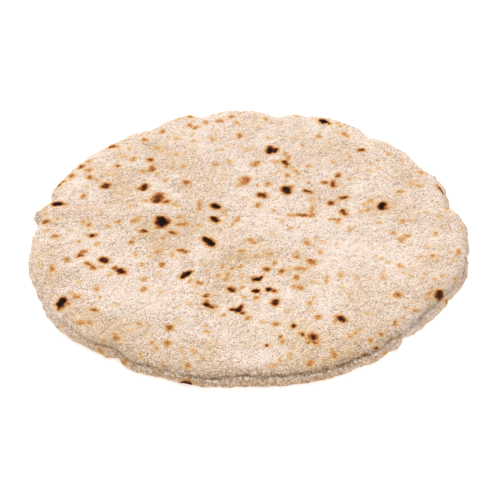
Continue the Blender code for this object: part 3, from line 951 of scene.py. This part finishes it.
def baked_crust():
    """Floury pale crust with a sandy grain whose dark flecks are partly painted shade in its hollows, gold
    and floury clouds that are partly painted light and shade of the broad relief, a firmer tan rim with
    painted shade along its front, a dark seam that is partly painted shade, pale crumbs, painted shade in
    the valleys of the folds, and scorch marks that run from gold through brown to char, broken up by the
    grain at their edges."""
    colours = bpy.context.scene.pita_colours
    sizes = bpy.context.scene.pita_sizes
    material = bpy.data.materials.new("toasted_crust")
    tree = Tree(material)
    place = tree.add("ShaderNodeTexCoord").outputs["Object"]
    heat = tree.attribute("toast")
    # The blush carries gold and floury crust together with painted light and shade of the broad relief.
    blush = tree.attribute("blush")
    seam = tree.attribute("seam")
    beads = tree.attribute("beads")
    rim = tree.attribute("rim")
    fold = tree.attribute("fold")

    # The grain: fine, coarse, the marks of dragging the dough across the board, and slow drifts.
    grain = tree.noise(place, 0.62, detail=1.0, roughness=0.7)
    coarse = tree.noise(place, 2.2, detail=3.0, roughness=0.65)
    turned = tree.add(
        "ShaderNodeVectorRotate", {"rotation_type": "Z_AXIS"}, Vector=place, Angle=DRAG_TURN
    ).outputs[0]
    drawn = tree.add(
        "ShaderNodeVectorMath", {"operation": "MULTIPLY"}, _0=turned, _1=DRAG_SHAPE
    ).outputs[0]
    drag = tree.noise(drawn, 1.05, detail=2.0, roughness=0.65)
    cloud = tree.noise(place, 7.0, detail=3.0, roughness=0.55)
    drift = tree.noise(place, 26.0, detail=2.0, roughness=0.5)

    # The floury crust.
    sand = tree.math("ADD", tree.math("MULTIPLY", grain, 0.76), tree.math("MULTIPLY", coarse, 0.24))
    sand = tree.math("ADD", sand, tree.math("MULTIPLY_ADD", cloud, 0.10, -0.05))
    sand = tree.math("ADD", sand, tree.math("MULTIPLY_ADD", drift, 0.12, -0.06))
    sand = tree.math("ADD", sand, tree.math("MULTIPLY_ADD", blush, -0.12, 0.05))
    sand = tree.math("ADD", sand, tree.math("MULTIPLY_ADD", drag, 0.18, -0.09))
    # Pale grains on a pink-brown ground, and dark flecks where the sand is lowest. Those places are the
    # hollows of the relief, so the flecks are partly the crust's own tone and partly painted shade.
    crust = tree.mix(tree.step(sand, 0.44, 0.53), opaque(colours.biscuit), opaque(colours.cream))
    crust = tree.mix(tree.step(sand, 0.470, 0.375, 0.0, 0.95), crust, opaque(colours.fleck_and_painted_shade))
    gold = tree.math("MULTIPLY", tree.step(blush, 0.2, 1.0), tree.step(coarse, 0.36, 0.64, 0.25, 0.85))
    crust = tree.mix(gold, crust, opaque(colours.blush))

    # The rim's tan, partly firmer crust and partly painted shade along the front, and painted shade in the
    # valleys of the folds.
    crumb = tree.noise(place, 1.2, detail=1.0, roughness=0.6)
    crumb = tree.math("MULTIPLY_ADD", crumb, 0.6, tree.math("MULTIPLY", grain, 0.4))
    tan_and_shade = tree.math("MULTIPLY", rim, tree.step(crumb, 0.46, 0.55, 1.0, 0.2))
    crust = tree.mix(tan_and_shade, crust, opaque(colours.tan))
    # Painted shade along the valleys of the folds.
    crust = tree.mix(fold, crust, opaque(colours.fleck_and_painted_shade))

    # The scorch marks.
    speckle = tree.noise(place, 0.55, detail=2.0, roughness=0.65)
    streak = tree.noise(place, 1.3, detail=2.0, roughness=0.6)
    ragged = tree.math("MULTIPLY_ADD", speckle, 1.0, -0.5)
    ragged = tree.math("ADD", ragged, tree.math("MULTIPLY_ADD", streak, 0.5, -0.25))
    ragged = tree.math("MULTIPLY", ragged, tree.step(heat, 0.03, 0.22))
    ragged = tree.math("MULTIPLY", ragged, tree.step(heat, 0.84, 0.98, 1.0, 0.5))
    baked = tree.math("ADD", heat, ragged)
    ramp = tree.add("ShaderNodeValToRGB", Fac=baked)
    stops = (
        (0.05, colours.blush, 0.0),
        (0.16, colours.blush, 0.75),
        (0.29, colours.gold, 0.92),
        (0.44, colours.amber, 0.96),
        (0.58, colours.brown, 0.98),
        (0.74, colours.umber, 1.0),
        (0.86, colours.soot, 1.0),
        (0.94, colours.char, 1.0),
    )
    ladder = ramp.color_ramp
    ladder.elements.remove(ladder.elements[1])
    ladder.elements[0].position = stops[0][0]
    for position, _, _ in stops[1:]:
        ladder.elements.new(position)
    for element, (_, colour, cover) in zip(ladder.elements, stops):
        element.color = (*colour, cover)
    crust = tree.mix(ramp.outputs["Alpha"], crust, ramp.outputs["Color"])

    # The seam's dark crease, partly browned crust and partly painted shade in the crease, and the pale
    # crumbs under it.
    dark = tree.math("MULTIPLY", seam, tree.step(crumb, 0.45, 0.56, 1.0, 0.5))
    crust = tree.mix(dark, crust, opaque(colours.seam_brown_and_shade))
    flour = tree.noise(place, 1.3, detail=1.0, roughness=0.5)
    pale = tree.math("MULTIPLY", beads, tree.step(flour, 0.52, 0.60, 0.0, 2.0))
    crust = tree.mix(tree.math("MINIMUM", pale, 0.9), crust, opaque(colours.cream))

    # The grain's relief.
    relief = tree.math("MULTIPLY_ADD", coarse, 1.1, grain)
    relief = tree.math("MULTIPLY_ADD", drag, 0.7, relief)
    bump = tree.add("ShaderNodeBump", Height=relief)
    bump.inputs["Distance"].default_value = sizes.grain_height
    bump.inputs["Strength"].default_value = 1.0

    shader = tree.add("ShaderNodeBsdfPrincipled", Base_Color=crust, Normal=bump.outputs["Normal"])
    tree.put(shader.inputs["Roughness"], tree.step(baked, 0.5, 0.95, 0.9, 0.6))
    shader.inputs["Specular IOR Level"].default_value = 0.03
    output = tree.add("ShaderNodeOutputMaterial")
    tree.tree.links.new(shader.outputs[0], output.inputs["Surface"])
    return material


def plain_floor():
    """Matt near-white paper that glows a little, so that the bread's shadow stays faint."""
    material = bpy.data.materials.new("pale_paper")
    tree = Tree(material)
    place = tree.add("ShaderNodeTexCoord").outputs["Object"]
    tone = tree.mix(tree.noise(place, 400.0, detail=1.0), (0.93, 0.93, 0.93, 1.0), (0.96, 0.96, 0.96, 1.0))
    shader = tree.add("ShaderNodeBsdfPrincipled", Base_Color=tone)
    shader.inputs["Roughness"].default_value = 1.0
    shader.inputs["Specular IOR Level"].default_value = 0.0
    shader.inputs["Emission Color"].default_value = (1.0, 1.0, 1.0, 1.0)
    shader.inputs["Emission Strength"].default_value = FLOOR_GLOW
    output = tree.add("ShaderNodeOutputMaterial")
    tree.tree.links.new(shader.outputs[0], output.inputs["Surface"])
    return material


# Making the pieces.


def mesh_of(name, points, quads, triangles, attributes):
    """A smooth mesh from points in mm and faces, with a number at each point for each attribute."""
    data = bpy.data.meshes.new(name)
    corners = np.concatenate([quads.ravel(), triangles.ravel()]).astype(np.int32)
    counts = np.concatenate([np.full(len(quads), 4), np.full(len(triangles), 3)])
    starts = np.concatenate([[0], np.cumsum(counts)[:-1]]).astype(np.int32)
    data.vertices.add(len(points))
    data.vertices.foreach_set("co", (points * MM).astype(np.float32).ravel())
    data.loops.add(len(corners))
    data.loops.foreach_set("vertex_index", corners)
    data.polygons.add(len(counts))
    data.polygons.foreach_set("loop_start", starts)
    data.update(calc_edges=True)
    data.validate()
    data.shade_smooth()
    for title, values in attributes.items():
        layer = data.attributes.new(title, "FLOAT", "POINT")
        layer.data.foreach_set("value", values.astype(np.float32))
    return data


class PITA_OT_bread(bpy.types.Operator):
    """Make the bread: top crust, rim and underside in one closed skin"""

    bl_idname = "pita.bread"
    bl_label = "Pita bread"

    def execute(self, context):
        sizes = context.scene.pita_sizes
        points, quads, triangles = bread_points(sizes.seam_depth / MM)
        rest = points.copy()
        points = knead(points, point_normals(points, quads, triangles), sizes.lump_height / MM)
        points = fit_to_frame(points)
        attributes = {
            "toast": baked_heat(points, sizes.mark_edge / MM),
            # Gold and floury clouds, partly painted light and shade of the broad relief.
            "blush": blush_and_relief_light(points),
            # The seam's dark crease: partly browned crust, partly painted shade, as strong as the seam is
            # open.
            "seam": 0.3 * seam_mask(rest, -0.1, 1.3) + 0.7 * seam_mask(rest, 0.1, 0.5),
            "beads": seam_mask(rest, -0.8, 0.45),
            # The rim's tan, with painted shade along the front.
            "rim": rim_tan_and_shade_mask(rest),
            # Where the painted shade of the folds' valleys goes.
            "fold": painted_fold_shade(rest),
        }
        data = mesh_of("baked_bread", points, quads, triangles, attributes)
        data.materials.append(baked_crust())
        bread = bpy.data.objects.new("baked_bread", data)
        context.scene.collection.objects.link(bread)
        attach(bread, "root")
        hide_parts("pita_bread")
        return {"FINISHED"}


def soft_light(name, azimuth, elevation, spread, strength):
    """A distant light from this direction, in degrees, as soft as a bank of lamps this wide."""
    lamp = bpy.data.lights.new(name, "SUN")
    lamp.angle = math.radians(spread)
    lamp.energy = strength
    light = bpy.data.objects.new(name, lamp)
    turn, rise = math.radians(azimuth), math.radians(elevation)
    source = Vector((math.cos(turn) * math.cos(rise), math.sin(turn) * math.cos(rise), math.sin(rise)))
    light.rotation_euler = source.to_track_quat("Z", "Y").to_euler()
    bpy.context.scene.collection.objects.link(light)


class PITA_OT_stage(bpy.types.Operator):
    """Make the floor, the lights and the camera"""

    bl_idname = "pita.stage"
    bl_label = "Studio"

    def execute(self, context):
        scene = context.scene
        studio = scene.pita_studio
        half = studio.floor_width / 2
        corners = [(-half, -half, 0), (half, -half, 0), (half, half, 0), (-half, half, 0)]
        data = bpy.data.meshes.new("floor")
        data.from_pydata(corners, [], [(0, 1, 2, 3)])
        data.materials.append(plain_floor())
        floor = bpy.data.objects.new("floor", data)
        scene.collection.objects.link(floor)

        centre = (BREAD_LOW + BREAD_HIGH) / 2
        soft_light("key", *KEY_LIGHT)
        soft_light("fill", *FILL_LIGHT)
        world = bpy.data.worlds.new("studio_air")
        world.use_nodes = True
        air = world.node_tree.nodes["Background"]
        air.inputs["Color"].default_value = (1.0, 1.0, 1.0, 1.0)
        air.inputs["Strength"].default_value = AIR_STRENGTH
        scene.world = world
        scene.view_settings.view_transform = "Standard"

        lens = bpy.data.cameras.new("camera")
        lens.sensor_width = 36.0
        lens.lens = studio.camera_lens
        lens.clip_start = 0.01
        camera = bpy.data.objects.new("camera", lens)
        rise = studio.camera_elevation
        back = Vector((0.0, -math.cos(rise), math.sin(rise)))
        aim = centre + Vector(AIM)
        camera.location = aim + back * studio.camera_distance
        camera.rotation_euler = (-back).to_track_quat("-Z", "Y").to_euler()
        scene.collection.objects.link(camera)
        scene.camera = camera
        return {"FINISHED"}


class PITA_PT_panel(bpy.types.Panel):
    """Lists the pieces and their sizes and colours in the sidebar"""

    bl_idname = "PITA_PT_panel"
    bl_label = "Pita bread"
    bl_space_type = "VIEW_3D"
    bl_region_type = "UI"
    bl_category = "Pita"

    def draw(self, context):
        layout = self.layout
        for operator, group in (
            (PITA_OT_bread, context.scene.pita_sizes),
            (None, context.scene.pita_colours),
            (PITA_OT_stage, context.scene.pita_studio),
        ):
            box = layout.box()
            for name in group.__class__.__annotations__:
                box.prop(group, name)
            if operator:
                box.operator(operator.bl_idname)


CLASSES = (PitaSizes, PitaColours, PitaStudio, PITA_OT_bread, PITA_OT_stage, PITA_PT_panel)


def register():
    """Makes the pieces' settings and operators known to Blender."""
    for kind in CLASSES:
        bpy.utils.register_class(kind)
    bpy.types.Scene.pita_sizes = bpy.props.PointerProperty(type=PitaSizes)
    bpy.types.Scene.pita_colours = bpy.props.PointerProperty(type=PitaColours)
    bpy.types.Scene.pita_studio = bpy.props.PointerProperty(type=PitaStudio)


def unregister():
    """Takes them out again."""
    del bpy.types.Scene.pita_studio
    del bpy.types.Scene.pita_colours
    del bpy.types.Scene.pita_sizes
    for kind in reversed(CLASSES):
        bpy.utils.unregister_class(kind)


def main():
    """Makes the bread and the studio."""
    register()
    bpy.ops.pita.bread()
    bpy.ops.pita.stage()


if __name__ == "__main__":
    main()
